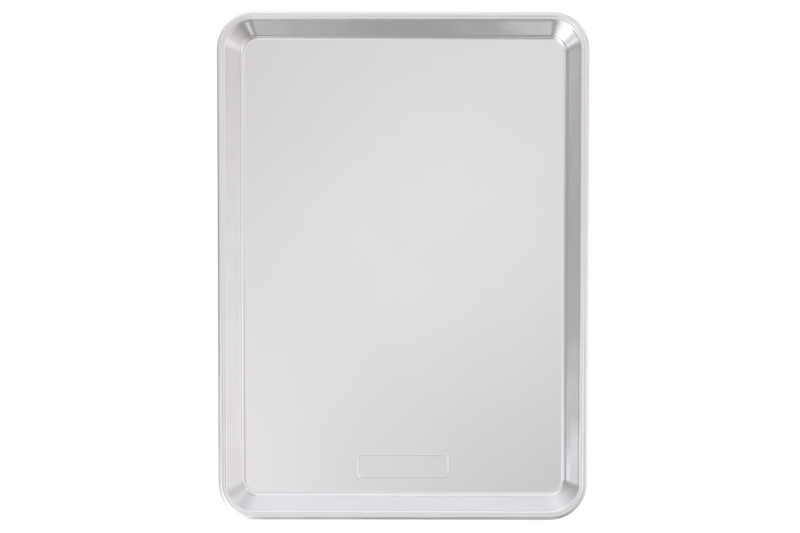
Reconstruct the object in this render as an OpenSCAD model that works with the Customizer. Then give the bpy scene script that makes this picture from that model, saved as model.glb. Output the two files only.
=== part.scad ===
// Jelly roll pan: one drawn aluminium sheet whose edge is rolled round a loop of steel wire.
// Lengths are in millimetres and angles in degrees. The pan stands on Z = 0 with its centre on the Z axis,
// its long sides along Y and its open side up.

/* [Pan] */
// Width of the pan over its rolled rim, along X
pan_w = 330; // [220:1:460]
// Length of the pan over its rolled rim, along Y
pan_l = 451.5; // [300:0.5:660]
// Height from the underside of the floor to the top of the rolled rim
pan_h = 25.4; // [18:0.1:60]
// Thickness of the sheet
sheet_t = 1; // [0.6:0.1:1.4]

/* [Walls] */
// Lean of the walls, away from upright
wall_lean = 22.8; // [8:0.1:40]
// Radius of the bend from floor to wall, on the inside of the pan
floor_bend_r = 5.2; // [1.6:0.1:7]
// Corner radius of the flat of the floor, seen from above
floor_corner_r = 11.6; // [6:0.2:40]

/* [Rim] */
// Radius of the bend from wall to shoulder, on its upper face
shoulder_bend_r = 3.2; // [1.6:0.1:4.5]
// Least width of the flat shoulder, between that bend and the groove
shoulder_flat = 0.7; // [0.2:0.1:6]
// Drop from the top of the rolled rim to the shoulder
shoulder_drop = 0.3; // [0.2:0.1:1]
// Radius of the groove between the shoulder and the roll
groove_r = 0.8; // [0.4:0.1:3]
// Least gap that the roll keeps from the shoulder above it and from the wall behind it
roll_gap = 0.3; // [0.2:0.1:0.5]
// Turn by which the roll's edge is tucked in, past the height of the wire's middle
tuck_turn = 30; // [0:1:40]

/* [Wire] */
// Diameter of the wire in the rim
wire_d = 6.4; // [3:0.1:7]
// Clearance all round the wire, inside the roll
wire_gap = 0.2; // [0.05:0.05:0.3]
// Space between the wire's two cut ends, at the middle of one long side
wire_end_space = 1; // [0.5:0.5:5]

/* [Hidden] */
$fn = 96;
quarter_turn = 90;
half_turn = 180;

// Half the sheet's thickness is enough to join two links, and stays inside both of them.
key_size = sheet_t / 2;

// The roll is a circle round the wire, and its top is the top of the pan.
wire_r = wire_d / 2;
roll_inner_r = wire_r + wire_gap;
roll_r = roll_inner_r + sheet_t;
wall_slope = quarter_turn - wall_lean;

// The groove's circle rests on the shoulder and touches the roll, which sets how far the sheet turns up there.
groove_rise = roll_r + groove_r - shoulder_drop;
groove_turn = acos(groove_rise / (roll_r + groove_r));
groove_run = (roll_r + groove_r) * sin(groove_turn);

// From the groove the sheet turns over the wire and on round it, until its edge is tucked in behind the wire,
// or sooner where the edge would come too close to the shoulder above it.
highest_tuck = asin((roll_r - shoulder_drop - sheet_t - roll_gap) / roll_r);
roll_turn = 3 * quarter_turn + groove_turn + min(tuck_turn, highest_tuck);

// The shoulder is wide enough for the wall behind the roll to stay clear of it.
shoulder_bend_rise = roll_r - shoulder_drop - shoulder_bend_r;
clear_reach = roll_r + roll_gap + sheet_t - shoulder_bend_r - shoulder_bend_rise * sin(wall_lean);
shoulder_w = max(shoulder_flat, clear_reach / cos(wall_lean) - groove_run);

// What height the bends leave is the wall's, and so the walls' lean sets how far in the floor starts.
bend_share = 1 - sin(wall_lean);
wall_rise = pan_h - shoulder_drop - sheet_t - (floor_bend_r + shoulder_bend_r) * bend_share;
wall_length = wall_rise / cos(wall_lean);
wall_run = wall_rise * tan(wall_lean);
bends_run = (floor_bend_r + shoulder_bend_r) * cos(wall_lean);
floor_inset = bends_run + wall_run + shoulder_w + groove_run + roll_r;

// All the curves round a corner have one centre, so the rim's corner radius follows from the floor's.
corner_r = floor_corner_r + floor_inset;
corner_x = pan_w / 2 - corner_r;
corner_y = pan_l / 2 - corner_r;

// A section of the sheet is a chain of flats and bends. Each link starts where the last one ended,
// with X along the sheet and the sheet between Y = 0 and Y = sheet_t, and it carries the next link as its child.

// A key across the end of a link, inside the sheet's thickness, that makes one piece of it and the next link
module key() {
    translate([-key_size / 2, (sheet_t - key_size) / 2])
        square(key_size);
}

// A flat stretch
module flat(length) {
    square([length, sheet_t]);
    translate([length, 0]) {
        if ($children > 0)
            key();
        children();
    }
}

// The half of a ring's square on one side of the line X = 0
module half_square(reach) {
    translate([0, -reach])
        square([reach, 2 * reach]);
}

// The part of a ring as thick as the sheet, from straight below its centre round to the right by the turn
module ring_part(inner_r, turn) {
    outer_r = inner_r + sheet_t;
    reach = 2 * outer_r;
    difference() {
        circle(r = outer_r);
        circle(r = inner_r);
        if (turn <= half_turn) {
            mirror([1, 0])
                half_square(reach);
            rotate(turn)
                half_square(reach);
        } else {
            intersection() {
                mirror([1, 0])
                    half_square(reach);
                rotate(turn)
                    half_square(reach);
            }
        }
    }
}

// A bend whose centre is above the sheet
module bend_up(inner_r, turn) {
    translate([0, sheet_t + inner_r]) {
        ring_part(inner_r, turn);
        rotate(turn)
            translate([0, -sheet_t - inner_r]) {
                if ($children > 0)
                    key();
                children();
            }
    }
}

// A bend whose centre is below the sheet
module bend_down(inner_r, turn) {
    translate([0, -inner_r]) {
        mirror([0, 1])
            ring_part(inner_r, turn);
        rotate(-turn)
            translate([0, inner_r]) {
                if ($children > 0)
                    key();
                children();
            }
    }
}

// The sheet from the centre of a corner out to its rolled edge
module sheet_section() {
    flat(floor_corner_r)
        bend_up(floor_bend_r, wall_slope)
            flat(wall_length)
                bend_down(shoulder_bend_r - sheet_t, wall_slope)
                    flat(shoulder_w)
                        bend_up(groove_r, groove_turn)
                            bend_down(roll_inner_r, roll_turn);
}

// The wire, concentric with the roll
module wire_section() {
    translate([corner_r - roll_r, pan_h - roll_r])
        circle(r = wire_r);
}

// Carries a section round the pan: a turned corner between two half sides, and its mirror images
module round_the_pan() {
    four_quarters()
        translate([corner_x, corner_y, 0]) {
            rotate_extrude(angle = quarter_turn)
                children();
            rotate([quarter_turn, 0, 0])
                linear_extrude(height = corner_y)
                    children();
            translate([-corner_x, 0, 0])
                rotate([quarter_turn, 0, quarter_turn])
                    linear_extrude(height = corner_x)
                        children();
        }
}

module four_quarters() {
    for (side = [0, 1], end = [0, 1])
        mirror([side, 0, 0])
            mirror([0, end, 0])
                children();
}

// The drawn sheet: the flat floor between the corners' centres, and all that the section carries round it
module pan_body() {
    color([0.85, 0.85, 0.86]) {
        round_the_pan()
            sheet_section();
        four_quarters()
            cube([corner_x, corner_y, sheet_t]);
    }
}

// The wire, bent to the rim's outline, with its ends cut square
module rim_wire() {
    color([0.62, 0.64, 0.66])
        difference() {
            round_the_pan()
                wire_section();
            translate([-pan_w / 2, -wire_end_space / 2, 0])
                cube([corner_r, wire_end_space, pan_h]);
        }
}

pan_body();
rim_wire();
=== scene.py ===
"""Jelly roll pan: the looks of a drawn aluminium sheet whose edge is rolled round a loop of steel wire.

Lengths are in metres and angles in radians where no comment says otherwise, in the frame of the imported
model: the pan stands on Z = 0 with its centre on the Z axis, its long sides along Y and its open side up.
"""

import math

import bpy
import numpy as np
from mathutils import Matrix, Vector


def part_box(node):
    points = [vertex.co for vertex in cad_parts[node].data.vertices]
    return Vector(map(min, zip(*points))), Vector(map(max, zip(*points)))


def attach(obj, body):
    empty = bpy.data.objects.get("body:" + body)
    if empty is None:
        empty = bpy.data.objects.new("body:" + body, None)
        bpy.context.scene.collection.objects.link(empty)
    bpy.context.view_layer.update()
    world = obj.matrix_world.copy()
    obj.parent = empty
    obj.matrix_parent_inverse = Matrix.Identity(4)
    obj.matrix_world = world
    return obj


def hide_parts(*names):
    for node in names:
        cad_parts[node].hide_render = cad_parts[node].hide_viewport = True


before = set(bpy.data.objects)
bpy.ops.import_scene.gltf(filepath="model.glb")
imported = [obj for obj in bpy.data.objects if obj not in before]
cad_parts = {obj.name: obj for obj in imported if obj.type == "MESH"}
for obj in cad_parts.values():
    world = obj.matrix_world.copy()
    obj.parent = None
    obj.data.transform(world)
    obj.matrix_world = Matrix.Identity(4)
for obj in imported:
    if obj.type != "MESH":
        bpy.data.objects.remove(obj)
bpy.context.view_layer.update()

MM = 0.001
QUARTER_TURN = math.pi / 2

# The sheet's own sizes. The pan's width, length and height come from the frame.
SHEET_T = 1.0 * MM
WALL_LEAN = math.radians(22.8)
FLOOR_CORNER_R = 11.6 * MM
FLOOR_BEND_R = 5.2 * MM
SHOULDER_BEND_R = 3.2 * MM
SHOULDER_FLAT = 0.7 * MM
SHOULDER_DROP = 0.3 * MM
GROOVE_R = 0.8 * MM
TUCK_TURN = math.radians(30)
CUT_EDGE_REACH = 0.25 * MM

# The wire in the rolled rim. Its surface is smooth but for edges sharper than the last of these.
WIRE_R = 3.2 * MM
WIRE_GAP = 0.2 * MM
WIRE_END_SPACE = 1.0 * MM
WIRE_SHARP_FROM = math.radians(40)

# The bare frame stamped in the floor, near the short side at the front
STAMP_W = 81.6 * MM
STAMP_L = 20.0 * MM
STAMP_CORNER_R = 3.5 * MM
STAMP_FROM_END = 45.5 * MM
STAMP_RIDGE_W = 1.5 * MM
STAMP_RIDGE_H = 0.12 * MM

# How finely the surfaces are cut up
CORNER_STEPS = 32
FLOOR_BEND_STEPS = 10
SHOULDER_BEND_STEPS = 10
GROOVE_STEPS = 8
ROLL_STEPS = 48
EDGE_STEPS = 6
WIRE_SIDES = 24
FLAT_MARGIN = 0.3 * MM
FLOOR_STEP = 10.0 * MM
STAMP_STEP = 0.25 * MM
STAMP_MARGIN = 2 * STAMP_STEP

# The metals: the two tones that soft patches go between, how many patches and fine lines there are in a
# metre, how far the lines are drawn out, and the roughness and fine bump that follow them. The sheet also
# has broad waves in its walls, which reach their full depth at a height.
ALUMINIUM = {
    "dark_tone": (0.87, 0.87, 0.87), "light_tone": (0.91, 0.91, 0.91), "patches_per_metre": 12.0,
    "lines_per_metre": 1500.0, "line_stretch": 60.0, "smoothest": 0.15, "roughest": 0.2,
    "bump": 0.1, "bump_depth": 0.002 * MM,
    "waves_per_metre": 25.0, "waves_from": 12.0 * MM, "wave_depth": 0.9 * MM,
}
GALVANISED = {
    "dark_tone": (0.52, 0.54, 0.57), "light_tone": (0.68, 0.7, 0.72), "patches_per_metre": 180.0,
    "lines_per_metre": 900.0, "line_stretch": 1.0, "smoothest": 0.35, "roughest": 0.55,
    "bump": 0.3, "bump_depth": 0.05 * MM,
}

# How fast the waves change up the walls, as a share of how fast they change along the pan's outline
WAVE_RISE = 0.3

# The middle of the values that a noise texture gives
NOISE_MIDDLE = 0.5

# The studio's floor, just under the pan
FLOOR_SIZE = 16.0
FLOOR_GAP = 0.2 * MM
FLOOR_TONE = (0.9, 0.9, 0.9, 1.0)
FLOOR_ROUGHNESS = 0.7
FLOOR_GLOW = 0.42
FLOOR_GLOW_TONE = (1.0, 1.0, 1.0, 1.0)

# Faint tints of the studio's light
PLAIN = (1.0, 1.0, 1.0)
LAVENDER = (1.0, 0.97, 1.03)
WARM = (1.05, 0.99, 0.96)
VIOLET = (0.97, 0.97, 1.04)
COOL = (0.95, 0.99, 1.06)

# The light: a dim tent all round, and on it soft lights, each with its azimuth from +Y towards +X and its
# elevation in degrees, how sharply it fades away from its middle, its strength and its tint. The main light
# stands at the front left.
TENT_TONE = (0.22, 0.21, 0.2)
LIGHTS = {
    "main_high": (235, 65, 30, 0.48, PLAIN),
    "main_middle": (225, 55, 20, 0.64, LAVENDER),
    "main_low": (225, 29, 60, 1.7, PLAIN),
    "main_right": (202, 28, 60, 0.82, COOL),
    "main_lowest": (210, 15, 20, 0.76, PLAIN),
    "overhead": (330, 89, 60, 0.235, LAVENDER),
    "wide_above": (60, 60, 4, 0.44, LAVENDER),
    "wide_back": (340, 20, 3, 0.79, VIOLET),
    "wide_right": (110, 15, 5, 0.51, WARM),
    "right_spot": (95, 25, 60, 0.4, COOL),
    "back_right_spot": (50, 20, 40, 0.45, PLAIN),
    "left_spot": (250, 25, 50, 0.75, COOL),
    "left_edge": (257, 34, 300, 0.9, COOL),
    "left_high_spot": (290, 50, 60, 0.4, WARM),
    "front_spot": (171, 31, 300, 1.15, COOL),
}

# The photograph's frame, the pixel that the camera faces, and how many pixels the lens is from its
# picture plane. The sensor's width is in millimetres. The camera's place is right of and beyond the pan's
# middle, and its height is above the rim.
PHOTO_W_PX = 800
PHOTO_H_PX = 533
FACED_PX = (443.1, 306.9)
FOCAL_PX = 1287.6
SENSOR_W = 36.0
CAMERA_PLACE = (35.5 * MM, 0.7 * MM)
CAMERA_HEIGHT = 1.137
CAMERA_TILT = math.radians(1.8)
CAMERA_ROLL = math.radians(0.1)

# Sizes that follow, as in the pan's construction
pan_low, pan_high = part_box("pan_body")
pan_w = pan_high[0] - pan_low[0]
pan_l = pan_high[1] - pan_low[1]
pan_h = pan_high[2] - pan_low[2]
half_t = SHEET_T / 2
wall_slope = QUARTER_TURN - WALL_LEAN
roll_r = WIRE_R + WIRE_GAP + SHEET_T
groove_reach = roll_r + GROOVE_R
groove_turn = math.acos((groove_reach - SHOULDER_DROP) / groove_reach)
groove_run = groove_reach * math.sin(groove_turn)
roll_turn = 3 * QUARTER_TURN + groove_turn + TUCK_TURN - CUT_EDGE_REACH / (roll_r - half_t)
bends_r = FLOOR_BEND_R + SHOULDER_BEND_R
wall_rise = pan_h - SHOULDER_DROP - SHEET_T - bends_r * (1 - math.sin(WALL_LEAN))
wall_length = wall_rise / math.cos(WALL_LEAN)
wall_run = wall_rise * math.tan(WALL_LEAN)
floor_inset = bends_r * math.cos(WALL_LEAN) + wall_run + SHOULDER_FLAT + groove_run + roll_r
corner_r = FLOOR_CORNER_R + floor_inset
corner_x = pan_w / 2 - corner_r
corner_y = pan_l / 2 - corner_r
stamp_y = STAMP_FROM_END - pan_l / 2


def flat(length):
    """A straight link of the section: its length, no turn, and the shares of it where points lie, which
    are its two ends and two places close to them."""
    return length, 0.0, np.array([0.0, FLAT_MARGIN, length - FLAT_MARGIN, length]) / length


def bend(radius, turn, steps):
    """A bent link: the arc's length on the sheet's middle line, its turn, and evenly spaced shares."""
    return radius * abs(turn), turn, np.linspace(0.0, 1.0, steps + 1)


def chain(links, start, heading):
    """Points and headings along links that each start where the last one ended.

    On a link of length L the heading grows evenly by its turn T. The points are then those of an arc of
    radius L / T, whose sine and cosine differences give the way along and across, or of a straight line
    where T is 0.
    """
    points = [np.array([start])]
    headings = [np.array([heading])]
    for length, turn, shares in links:
        angles = heading + turn * shares
        if turn:
            along = np.sin(angles) - math.sin(heading)
            across = math.cos(heading) - np.cos(angles)
            steps = np.stack([along, across], axis=1) * length / turn
        else:
            steps = np.outer(shares * length, [math.cos(heading), math.sin(heading)])
        points.append(points[-1][-1] + steps[1:])
        headings.append(angles[1:])
        heading = angles[-1]
    return np.concatenate(points), np.concatenate(headings)


def sheet_section():
    """The sheet's section as a loop of points, each a distance from the corner's centre and a height,
    with its outward normals.

    The middle line is a chain of flats and bends. Half the sheet's thickness to its left and to its right
    are the two faces, and half an ellipse across the end of the line is the cut edge.
    """
    line, heading = chain([
        flat(FLOOR_CORNER_R),
        bend(FLOOR_BEND_R + half_t, wall_slope, FLOOR_BEND_STEPS),
        flat(wall_length),
        bend(SHOULDER_BEND_R - half_t, -wall_slope, SHOULDER_BEND_STEPS),
        flat(SHOULDER_FLAT),
        bend(GROOVE_R + half_t, groove_turn, GROOVE_STEPS),
        bend(roll_r - half_t, -roll_turn, ROLL_STEPS),
    ], (0.0, half_t), 0.0)
    left = np.stack([-np.sin(heading), np.cos(heading)], axis=1)
    ahead = np.array([math.cos(heading[-1]), math.sin(heading[-1])])
    turn = np.linspace(0.0, math.pi, EDGE_STEPS + 1)[1:-1]
    edge_across = np.outer(half_t * np.cos(turn), left[-1])
    edge_ahead = np.outer(CUT_EDGE_REACH * np.sin(turn), ahead)
    edge = line[-1] + edge_across + edge_ahead
    edge_normals = np.outer(np.cos(turn) / half_t, left[-1]) + np.outer(np.sin(turn) / CUT_EDGE_REACH, ahead)
    edge_normals /= np.linalg.norm(edge_normals, axis=1, keepdims=True)
    points = np.concatenate([line + half_t * left, edge, (line - half_t * left)[::-1]])
    normals = np.concatenate([left, edge_normals, -left[::-1]])
    return points, normals


def carry(section, base, angle, offset=0.0):
    """Carries a section along a route: each of its points goes the section's distance from the route's
    base point, in the direction of the angle, and keeps its height. With base 0 it turns the section's
    normals the same way."""
    away = section[None, :, 0] + offset
    x = base[:, None, 0] + away * np.cos(angle)[:, None]
    y = base[:, None, 1] + away * np.sin(angle)[:, None]
    z = np.broadcast_to(section[None, :, 1], x.shape)
    return np.stack([x, y, z], axis=2)


def graded_lines(stops, steps):
    """Grid lines between stops, each stretch divided evenly into steps no longer than its own."""
    stretches = zip(stops, stops[1:], steps)
    parts = [np.linspace(a, b, math.ceil((b - a) / step) + 1)[:-1] for a, b, step in stretches]
    return np.append(np.concatenate(parts), stops[-1])


def stamp_lines(middle, half, end):
    """Grid lines from -end to end, fine where they cross the stamped frame's sides and corners, and a
    little beyond."""
    outer = half + STAMP_RIDGE_W / 2 + STAMP_MARGIN
    inner = half - STAMP_CORNER_R - STAMP_RIDGE_W / 2 - STAMP_MARGIN
    stops = [-end, middle - outer, middle - inner, middle + inner, middle + outer, end]
    return graded_lines(stops, [FLOOR_STEP, STAMP_STEP, FLOOR_STEP, STAMP_STEP, FLOOR_STEP])


def stamp_height(x, y):
    """Height of the stamped ridge: a squared cosine of the distance to a rounded rectangle's line."""
    side_x = np.abs(x) - (STAMP_W / 2 - STAMP_CORNER_R)
    side_y = np.abs(y - stamp_y) - (STAMP_L / 2 - STAMP_CORNER_R)
    outside = np.hypot(np.maximum(side_x, 0.0), np.maximum(side_y, 0.0))
    distance = outside + np.minimum(np.maximum(side_x, side_y), 0.0) - STAMP_CORNER_R
    share = np.clip(np.abs(distance) / (STAMP_RIDGE_W / 2), 0.0, 1.0)
    return STAMP_RIDGE_H * np.cos(share * QUARTER_TURN) ** 2


def stations(columns, rows):
    """The route round the pan, counter-clockwise from the right-hand side: the floor grid's column and
    row that each station stands at, and the angle that it faces. Sides step along the grid, and corners
    turn on one grid point."""
    right, top = columns - 1, rows - 1
    turn = np.linspace(0.0, QUARTER_TURN, CORNER_STEPS, endpoint=False)
    legs = [
        (np.full(top, right), np.arange(top)),
        (np.full(CORNER_STEPS, right), np.full(CORNER_STEPS, top)),
        (np.arange(right, 0, -1), np.full(right, top)),
        (np.zeros(CORNER_STEPS), np.full(CORNER_STEPS, top)),
        (np.zeros(top), np.arange(top, 0, -1)),
        (np.zeros(CORNER_STEPS), np.zeros(CORNER_STEPS)),
        (np.arange(right), np.zeros(right)),
        (np.full(CORNER_STEPS, right), np.zeros(CORNER_STEPS)),
    ]
    column = np.concatenate([leg[0] for leg in legs]).astype(int)
    row = np.concatenate([leg[1] for leg in legs]).astype(int)
    angle = np.concatenate([
        np.zeros(top), turn,
        np.full(right, QUARTER_TURN), QUARTER_TURN + turn,
        np.full(top, 2 * QUARTER_TURN), 2 * QUARTER_TURN + turn,
        np.full(right, 3 * QUARTER_TURN), 3 * QUARTER_TURN + turn,
    ])
    return column, row, angle


def add_piece(name, points, faces, normals=None):
    """Makes a mesh piece at the origin, smooth, with exact normals where they are given."""
    mesh = bpy.data.meshes.new(name)
    mesh.from_pydata(points, [], faces)
    mesh.shade_smooth()
    if normals is not None:
        mesh.normals_split_custom_set_from_vertices(normals)
    piece = bpy.data.objects.new(name, mesh)
    bpy.context.scene.collection.objects.link(piece)
    return piece


def pan_sheet():
    """The drawn sheet as one closed skin: the floor's two faces on a grid that rises over the stamped
    ridge, and the section carried round them, whose first and last points are the grids' own border."""
    section, section_normals = sheet_section()
    x_lines = stamp_lines(0.0, STAMP_W / 2, corner_x)
    y_lines = stamp_lines(stamp_y, STAMP_L / 2, corner_y)
    columns, rows = len(x_lines), len(y_lines)
    x, y = np.meshgrid(x_lines, y_lines)
    height = stamp_height(x, y)
    rise_y, rise_x = np.gradient(height, y_lines, x_lines)
    slope_normals = np.stack([-rise_x, -rise_y, np.ones_like(x)], axis=2)
    slope_normals /= np.linalg.norm(slope_normals, axis=2, keepdims=True)
    upper = np.stack([x, y, SHEET_T + height], axis=2).reshape(-1, 3)
    lower = np.stack([x, y, height], axis=2).reshape(-1, 3)
    slope_normals = slope_normals.reshape(-1, 3)

    column, row, angle = stations(columns, rows)
    base = np.stack([x_lines[column], y_lines[row]], axis=1)
    band = carry(section[1:-1], base, angle)
    band_normals = carry(section_normals[1:-1], np.zeros_like(base), angle)

    grid = np.arange(rows * columns).reshape(rows, columns)
    border = grid[row, column]
    band_ids = 2 * grid.size + np.arange(band.shape[0] * band.shape[1]).reshape(band.shape[:2])
    ids = np.concatenate([border[:, None], band_ids, grid.size + border[:, None]], axis=1)
    ahead = np.roll(ids, -1, axis=0)
    on_side = border != np.roll(border, -1)
    upper_quads = np.stack([grid[:-1, :-1], grid[:-1, 1:], grid[1:, 1:], grid[1:, :-1]], axis=2)
    lower_quads = grid.size + upper_quads[:, :, [0, 3, 2, 1]]
    quads = np.concatenate([
        upper_quads.reshape(-1, 4),
        lower_quads.reshape(-1, 4),
        np.stack([ids[:, 1:-2], ids[:, 2:-1], ahead[:, 2:-1], ahead[:, 1:-2]], axis=2).reshape(-1, 4),
        np.stack([ids[:, 0], ids[:, 1], ahead[:, 1], ahead[:, 0]], axis=1)[on_side],
        np.stack([ids[:, -2], ids[:, -1], ahead[:, -1], ahead[:, -2]], axis=1)[on_side],
    ])
    triangles = np.concatenate([
        np.stack([ids[:, 0], ids[:, 1], ahead[:, 1]], axis=1)[~on_side],
        np.stack([ids[:, -2], ids[:, -1], ahead[:, -2]], axis=1)[~on_side],
    ])
    points = np.concatenate([upper, lower, band.reshape(-1, 3)])
    normals = np.concatenate([slope_normals, -slope_normals, band_normals.reshape(-1, 3)])
    return add_piece("pan_sheet", points, quads.tolist() + triangles.tolist(), normals)


def wire_rod():
    """The wire: a circle carried from its one cut end, at the middle of the left-hand side, round the
    four corners to the other, with a flat face on each end. The first corner is the one at the front
    left, where the circle's direction starts two quarter turns round from +X."""
    turn = np.linspace(0.0, 2 * math.pi, WIRE_SIDES, endpoint=False)
    section = np.stack([WIRE_R * np.cos(turn), pan_h - roll_r + WIRE_R * np.sin(turn)], axis=1)
    corner_turn = np.linspace(0.0, QUARTER_TURN, CORNER_STEPS + 1)
    corners = np.array([[-1, -1], [1, -1], [1, 1], [-1, 1]]) * [corner_x, corner_y]
    ends = np.array([[-corner_x, -WIRE_END_SPACE / 2], [-corner_x, WIRE_END_SPACE / 2]])
    base = np.concatenate([ends[:1], np.repeat(corners, CORNER_STEPS + 1, axis=0), ends[1:]])
    quarters = 2 + np.arange(len(corners))
    turns = (quarters[:, None] * QUARTER_TURN + corner_turn).ravel()
    angle = np.concatenate([turns[:1], turns, turns[-1:]])
    points = carry(section, base, angle, offset=corner_r - roll_r)
    ids = np.arange(points.shape[0] * WIRE_SIDES).reshape(points.shape[:2])
    after = np.roll(ids, -1, axis=1)
    quads = np.stack([ids[:-1], ids[1:], after[1:], after[:-1]], axis=2).reshape(-1, 4)
    faces = quads.tolist() + [ids[0].tolist(), ids[-1][::-1].tolist()]
    piece = add_piece("wire_rod", points.reshape(-1, 3), faces)
    piece.data.set_sharp_from_angle(angle=WIRE_SHARP_FROM)
    return piece


def new_group(name, vectors, numbers, result):
    """An empty shader node group with the named vector and number inputs, and one number as its output."""
    group = bpy.data.node_groups.new(name, "ShaderNodeTree")
    for socket_name in vectors:
        group.interface.new_socket(socket_name, in_out="INPUT", socket_type="NodeSocketVector")
    for socket_name in numbers:
        group.interface.new_socket(socket_name, in_out="INPUT", socket_type="NodeSocketFloat")
    group.interface.new_socket(result, in_out="OUTPUT", socket_type="NodeSocketFloat")
    return group, group.nodes.new("NodeGroupInput"), group.nodes.new("NodeGroupOutput")


def add_node(tree, kind, values=None, **settings):
    """A node with its settings and the values of its unlinked inputs."""
    node = tree.nodes.new(kind)
    for key, value in settings.items():
        setattr(node, key, value)
    for key, value in (values or {}).items():
        node.inputs[key].default_value = value
    return node


def rolled_lines_group():
    """Fine lines left by the rolling mill: noise that changes fast along X and, divided by the stretch,
    slowly along Y and Z, so that its lines run along the pan and up the walls at its ends. A stretch of 1
    gives an even grain."""
    group, given, made = new_group("rolled_lines", ["Vector"], ["Lines per Metre", "Stretch"], "Lines")
    along = add_node(group, "ShaderNodeMath", operation="DIVIDE")
    scale = add_node(group, "ShaderNodeCombineXYZ")
    place = add_node(group, "ShaderNodeVectorMath", operation="MULTIPLY")
    noise = add_node(group, "ShaderNodeTexNoise", {"Scale": 1.0, "Detail": 3.0, "Roughness": 0.6})
    group.links.new(given.outputs["Lines per Metre"], along.inputs[0])
    group.links.new(given.outputs["Stretch"], along.inputs[1])
    group.links.new(given.outputs["Lines per Metre"], scale.inputs["X"])
    group.links.new(along.outputs[0], scale.inputs["Y"])
    group.links.new(along.outputs[0], scale.inputs["Z"])
    group.links.new(given.outputs["Vector"], place.inputs[0])
    group.links.new(scale.outputs[0], place.inputs[1])
    group.links.new(place.outputs[0], noise.inputs["Vector"])
    group.links.new(noise.outputs["Fac"], made.inputs["Lines"])
    return group


def mottle_group():
    """Soft uneven patches of a metal's skin, from broad cloudy noise."""
    group, given, made = new_group("mottle", ["Vector"], ["Patches per Metre"], "Patches")
    noise = add_node(group, "ShaderNodeTexNoise", {"Detail": 4.0, "Roughness": 0.55})
    group.links.new(given.outputs["Vector"], noise.inputs["Vector"])
    group.links.new(given.outputs["Patches per Metre"], noise.inputs["Scale"])
    group.links.new(noise.outputs["Fac"], made.inputs["Patches"])
    return group


def press_waves_group():
    """The slight waves that drawing leaves in the walls: broad noise about zero that changes little with
    height, times a smooth share that grows from none at the floor's height to all of it at the full
    height."""
    group, given, made = new_group(
        "press_waves", ["Vector"], ["Waves per Metre", "Floor Height", "Full Height"], "Waves")
    flatten = add_node(group, "ShaderNodeVectorMath", {1: (1.0, 1.0, WAVE_RISE)}, operation="MULTIPLY")
    noise = add_node(group, "ShaderNodeTexNoise", {"Detail": 1.0, "Roughness": 0.4})
    centred = add_node(group, "ShaderNodeMath", {1: NOISE_MIDDLE}, operation="SUBTRACT")
    height = add_node(group, "ShaderNodeSeparateXYZ")
    share = add_node(group, "ShaderNodeMapRange", interpolation_type="SMOOTHSTEP")
    waves = add_node(group, "ShaderNodeMath", operation="MULTIPLY")
    group.links.new(given.outputs["Vector"], flatten.inputs[0])
    group.links.new(flatten.outputs[0], noise.inputs["Vector"])
    group.links.new(given.outputs["Waves per Metre"], noise.inputs["Scale"])
    group.links.new(given.outputs["Vector"], height.inputs[0])
    group.links.new(height.outputs["Z"], share.inputs["Value"])
    group.links.new(given.outputs["Floor Height"], share.inputs["From Min"])
    group.links.new(given.outputs["Full Height"], share.inputs["From Max"])
    group.links.new(noise.outputs["Fac"], centred.inputs[0])
    group.links.new(centred.outputs[0], waves.inputs[0])
    group.links.new(share.outputs["Result"], waves.inputs[1])
    group.links.new(waves.outputs[0], made.inputs["Waves"])
    return group


def metal(name, look, lines, patches, waves=None):
    """A bare metal whose tone follows soft patches, and whose roughness and fine bump follow lines. Where
    waves are given, a broad bump under the fine one follows them."""
    material = bpy.data.materials.new(name)
    material.use_nodes = True
    tree = material.node_tree
    shader = tree.nodes["Principled BSDF"]
    shader.inputs["Metallic"].default_value = 1.0
    place = add_node(tree, "ShaderNodeTexCoord")
    fine = add_node(tree, "ShaderNodeGroup", {
        "Lines per Metre": look["lines_per_metre"], "Stretch": look["line_stretch"],
    }, node_tree=lines)
    broad = add_node(tree, "ShaderNodeGroup", {
        "Patches per Metre": look["patches_per_metre"],
    }, node_tree=patches)
    tone = add_node(tree, "ShaderNodeMix", {
        "A": (*look["dark_tone"], 1.0), "B": (*look["light_tone"], 1.0),
    }, data_type="RGBA")
    rough = add_node(tree, "ShaderNodeMapRange", {"To Min": look["smoothest"], "To Max": look["roughest"]})
    bump = add_node(tree, "ShaderNodeBump", {"Strength": look["bump"], "Distance": look["bump_depth"]})
    tree.links.new(place.outputs["Object"], fine.inputs["Vector"])
    tree.links.new(place.outputs["Object"], broad.inputs["Vector"])
    tree.links.new(broad.outputs["Patches"], tone.inputs["Factor"])
    tree.links.new(tone.outputs["Result"], shader.inputs["Base Color"])
    tree.links.new(fine.outputs["Lines"], rough.inputs["Value"])
    tree.links.new(rough.outputs["Result"], shader.inputs["Roughness"])
    tree.links.new(fine.outputs["Lines"], bump.inputs["Height"])
    tree.links.new(bump.outputs["Normal"], shader.inputs["Normal"])
    if waves is not None:
        wavy = add_node(tree, "ShaderNodeGroup", {
            "Waves per Metre": look["waves_per_metre"], "Floor Height": SHEET_T,
            "Full Height": look["waves_from"],
        }, node_tree=waves)
        wave_bump = add_node(tree, "ShaderNodeBump", {"Strength": 1.0, "Distance": look["wave_depth"]})
        tree.links.new(place.outputs["Object"], wavy.inputs["Vector"])
        tree.links.new(wavy.outputs["Waves"], wave_bump.inputs["Height"])
        tree.links.new(wave_bump.outputs["Normal"], bump.inputs["Normal"])
    return material


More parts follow.
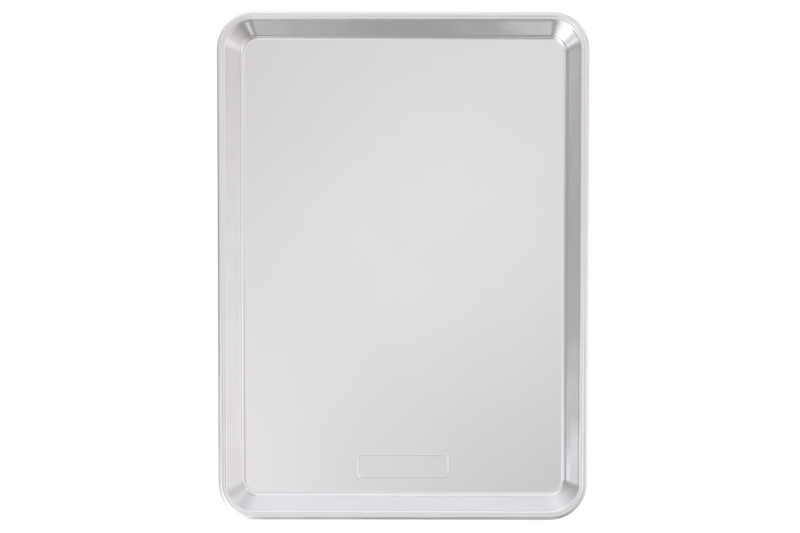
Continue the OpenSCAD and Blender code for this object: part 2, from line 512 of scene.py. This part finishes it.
def floor_surface():
    """A wide pale floor just under the pan."""
    half = FLOOR_SIZE / 2
    corners = [(-half, -half), (half, -half), (half, half), (-half, half)]
    piece = add_piece("floor", [(x, y, -FLOOR_GAP) for x, y in corners], [(0, 1, 2, 3)])
    material = bpy.data.materials.new("pale_floor")
    material.use_nodes = True
    shader = material.node_tree.nodes["Principled BSDF"]
    shader.inputs["Base Color"].default_value = FLOOR_TONE
    shader.inputs["Roughness"].default_value = FLOOR_ROUGHNESS
    shader.inputs["Emission Color"].default_value = FLOOR_GLOW_TONE
    shader.inputs["Emission Strength"].default_value = FLOOR_GLOW
    piece.data.materials.append(material)
    return piece


def soft_lobe_group():
    """One soft light of the studio: strength * exp(sharpness * (cosine of the angle from its middle -
    1))."""
    group, given, made = new_group(
        "soft_lobe", ["Direction", "Middle"], ["Sharpness", "Strength"], "Glow")
    near = add_node(group, "ShaderNodeVectorMath", operation="DOT_PRODUCT")
    away = add_node(group, "ShaderNodeMath", {1: 1.0}, operation="SUBTRACT")
    fade = add_node(group, "ShaderNodeMath", operation="MULTIPLY")
    share = add_node(group, "ShaderNodeMath", operation="EXPONENT")
    glow = add_node(group, "ShaderNodeMath", operation="MULTIPLY")
    group.links.new(given.outputs["Direction"], near.inputs[0])
    group.links.new(given.outputs["Middle"], near.inputs[1])
    group.links.new(near.outputs["Value"], away.inputs[0])
    group.links.new(away.outputs[0], fade.inputs[0])
    group.links.new(given.outputs["Sharpness"], fade.inputs[1])
    group.links.new(fade.outputs[0], share.inputs[0])
    group.links.new(share.outputs[0], glow.inputs[0])
    group.links.new(given.outputs["Strength"], glow.inputs[1])
    group.links.new(glow.outputs[0], made.inputs["Glow"])
    return group


def soft_light():
    """The studio's light: a plain tent with soft lights on it, each brightest at its middle."""
    world = bpy.data.worlds.new("soft_light")
    world.use_nodes = True
    tree = world.node_tree
    lobe = soft_lobe_group()
    place = add_node(tree, "ShaderNodeTexCoord")
    total = add_node(tree, "ShaderNodeCombineXYZ", dict(zip("XYZ", TENT_TONE)))
    for azimuth, elevation, sharpness, strength, tint in LIGHTS.values():
        a, e = math.radians(azimuth), math.radians(elevation)
        toward = (math.sin(a) * math.cos(e), math.cos(a) * math.cos(e), math.sin(e))
        light = add_node(tree, "ShaderNodeGroup", {
            "Middle": toward, "Sharpness": sharpness, "Strength": strength,
        }, node_tree=lobe)
        added = add_node(tree, "ShaderNodeVectorMath", {0: tint}, operation="MULTIPLY_ADD")
        tree.links.new(place.outputs["Generated"], light.inputs["Direction"])
        tree.links.new(light.outputs["Glow"], added.inputs[1])
        tree.links.new(total.outputs[0], added.inputs[2])
        total = added
    tree.links.new(total.outputs[0], tree.nodes["Background"].inputs["Color"])
    bpy.context.scene.world = world


def photo_camera():
    """The camera almost straight above the pan, tilted a little so that the back of the pan shows slightly
    larger. Its shift puts the point that it faces where the photograph's framing has it."""
    data = bpy.data.cameras.new("camera")
    data.sensor_width = SENSOR_W
    data.lens = SENSOR_W * FOCAL_PX / PHOTO_W_PX
    data.shift_x = (PHOTO_W_PX / 2 - FACED_PX[0]) / PHOTO_W_PX
    data.shift_y = (FACED_PX[1] - PHOTO_H_PX / 2) / PHOTO_W_PX
    camera = bpy.data.objects.new("camera", data)
    bpy.context.scene.collection.objects.link(camera)
    camera.location = (*CAMERA_PLACE, pan_h + CAMERA_HEIGHT)
    camera.rotation_euler = (-CAMERA_TILT, 0.0, CAMERA_ROLL)
    bpy.context.scene.camera = camera


rolled_lines = rolled_lines_group()
mottle = mottle_group()
press_waves = press_waves_group()

sheet = pan_sheet()
sheet.data.materials.append(metal("rolled_aluminium", ALUMINIUM, rolled_lines, mottle, press_waves))
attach(sheet, "root")
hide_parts("pan_body")

wire = wire_rod()
wire.data.materials.append(metal("galvanised_steel", GALVANISED, rolled_lines, mottle))
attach(wire, "root")
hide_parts("rim_wire")

floor = floor_surface()
soft_light()
photo_camera()
bpy.context.scene.view_settings.view_transform = "Standard"
